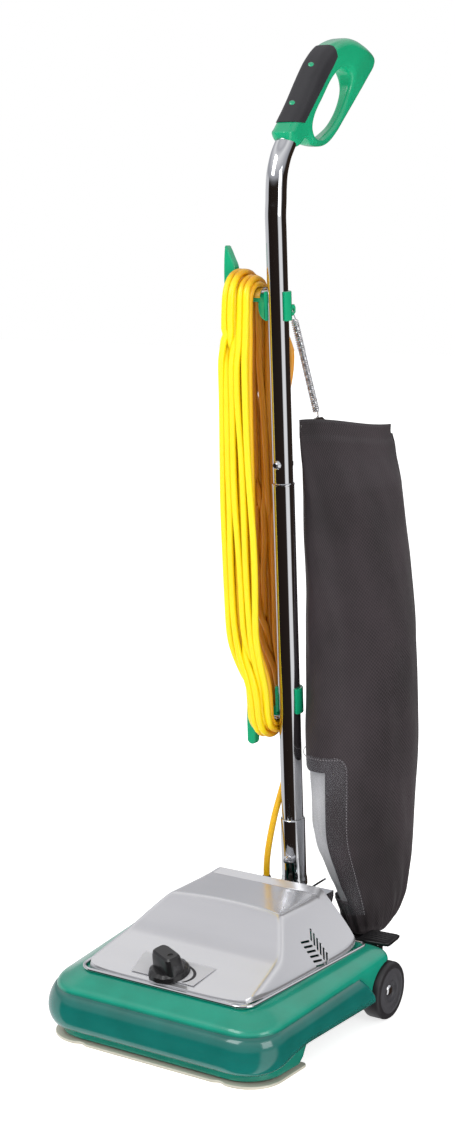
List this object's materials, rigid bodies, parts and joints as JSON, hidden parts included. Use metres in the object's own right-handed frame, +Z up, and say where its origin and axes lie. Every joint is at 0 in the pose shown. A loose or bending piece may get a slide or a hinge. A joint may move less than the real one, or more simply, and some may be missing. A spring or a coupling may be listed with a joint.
{
  "type": "upright vacuum cleaner",
  "caption": "Upright vacuum cleaner: low wheeled motor base with brush roll, chrome tube handle with cord hooks, D-shaped grip and a hanging cloth bag.",
  "frame": {"origin": "middle of the machine's footprint box (without the cord), on the floor", "axes": "+Z up, along the standing handle; the nozzle is towards -Y and the bag towards +Y; the cord hooks are on the -X side"},
  "size_m": [0.346, 0.5662, 1.1835],
  "materials": {
    "abs_green": "moulded ABS, glossy",
    "vinyl_teal": "soft moulded vinyl, satin gloss",
    "polished_aluminium": "polished sheet",
    "chrome_plate": "bright chrome plate",
    "bright_steel": "plain bright steel",
    "grey_plate": "light grey, satin",
    "black_plastic": "black moulded plastic, satin",
    "black_rubber": "black rubber, matte",
    "copper_winding": "wound and lacquered copper on iron",
    "woven_cloth": "plain-woven coated cloth, dark brown-black",
    "clear_vinyl": "clear flexible sheet, glossy",
    "yellow_cord": "bright yellow PVC jacket"
  },
  "bodies": {
    "base": {"base_housing": "abs_green", "furniture_guard": "vinyl_teal", "motor_hood": "polished_aluminium", "hood_trim": "chrome_plate", "dial_plate": "grey_plate", "sole_plate": "bright_steel", "nozzle_chamber": "black_plastic", "base_frame": "black_plastic", "rear_axle_left": "chrome_plate", "rear_axle_right": "chrome_plate", "brush_end_cap_left": "black_plastic", "brush_end_cap_right": "black_plastic", "drive_belt": "black_rubber", "motor_case": "bright_steel", "motor_stator": "copper_winding", "fan_housing": "black_plastic", "exhaust_elbow": "black_plastic", "bag_collar": "bright_steel", "carriage_pin": "bright_steel", "pedal_spring": "bright_steel", "switch_box": "black_plastic", "terminal_box": "black_plastic", "cord_strain_relief": "black_rubber", "pivot_pin_left": "bright_steel", "pivot_pin_right": "bright_steel"},
    "rotor": {"motor_shaft": "bright_steel", "motor_armature": "copper_winding", "motor_fan": "grey_plate"},
    "brush": {"brush_roll": "black_plastic"},
    "rear_wheel_left": {"rear_wheel_left": "black_rubber"},
    "rear_wheel_right": {"rear_wheel_right": "black_rubber"},
    "height_knob": {"height_knob": "black_plastic"},
    "roller_carriage": {"roller_carriage": "black_plastic", "roller_pin_left": "bright_steel", "roller_pin_right": "bright_steel"},
    "front_roller_left": {"front_roller_left": "black_plastic"},
    "front_roller_right": {"front_roller_right": "black_plastic"},
    "release_pedal": {"release_pedal": "black_plastic"},
    "switch_lever": {"switch_lever": "chrome_plate"},
    "handle": {"handle_bail": "chrome_plate", "handle_socket": "chrome_plate", "socket_bolt": "chrome_plate", "lower_wand": "chrome_plate", "upper_wand": "chrome_plate", "wand_bolt": "chrome_plate", "upper_hook": "abs_green", "upper_hook_saddle": "chrome_plate", "lower_hook": "abs_green", "lower_hook_saddle": "chrome_plate", "bag_spring": "chrome_plate", "bag_top_strip": "bright_steel", "cloth_bag": "woven_cloth", "vinyl_window": "clear_vinyl", "grip_body": "abs_green", "grip_pad": "black_rubber", "grip_screw": "bright_steel", "supply_cord": "yellow_cord", "cord_hank": "yellow_cord", "cord_tail": "yellow_cord", "power_plug": "yellow_cord"}
  },
  "joints": [
    {"name": "handle_fold", "type": "hinge", "parent": "base", "child": "handle", "pos_m": [0, 0.0321, 0.078], "axis": [-1, 0, 0], "range_deg": [0, 65], "deforming": ["cloth_bag", "vinyl_window", "supply_cord"]},
    {"name": "pedal", "type": "hinge", "parent": "base", "child": "release_pedal", "pos_m": [0.127, 0.0181, 0.0735], "axis": [-1, 0, 0], "range_deg": [0, 10], "stiffness_Nm_per_rad": 0.6, "springref_deg": -6.88},
    {"name": "switch", "type": "hinge", "parent": "base", "child": "switch_lever", "pos_m": [0.04, 0.0159, 0.123], "axis": [1, 0, 0], "range_deg": [-12, 12]},
    {"name": "knob", "type": "hinge", "parent": "base", "child": "height_knob", "pos_m": [-0.004, -0.2274, 0.0944], "axis": [0, -0.2419, 0.9703], "range_deg": [0, 180]},
    {"name": "carriage", "type": "hinge", "parent": "base", "child": "roller_carriage", "pos_m": [0, -0.1129, 0.014], "axis": [1, 0, 0], "range_deg": [0, 7.2]},
    {"name": "front_roller_left_spin", "type": "hinge", "parent": "roller_carriage", "child": "front_roller_left", "pos_m": [-0.035, -0.1579, 0.0098], "axis": [1, 0, 0], "continuous": true},
    {"name": "front_roller_right_spin", "type": "hinge", "parent": "roller_carriage", "child": "front_roller_right", "pos_m": [0.035, -0.1579, 0.0098], "axis": [1, 0, 0], "continuous": true},
    {"name": "rear_wheel_left_spin", "type": "hinge", "parent": "base", "child": "rear_wheel_left", "pos_m": [-0.16075, -0.0079, 0.0357], "axis": [1, 0, 0], "continuous": true},
    {"name": "rear_wheel_right_spin", "type": "hinge", "parent": "base", "child": "rear_wheel_right", "pos_m": [0.16075, -0.0079, 0.0357], "axis": [1, 0, 0], "continuous": true},
    {"name": "rotor_spin", "type": "hinge", "parent": "base", "child": "rotor", "pos_m": [0, -0.1, 0.08], "axis": [0, 1, 0], "continuous": true},
    {"name": "brush_spin", "type": "hinge", "parent": "base", "child": "brush", "pos_m": [0, -0.2199, 0.0305], "axis": [1, 0, 0], "continuous": true}
  ],
  "couplings": [
    {"joint": "carriage", "follows": "knob", "ratio": 0.04},
    {"joint": "brush_spin", "follows": "rotor_spin", "ratio": 0.5}
  ]
}
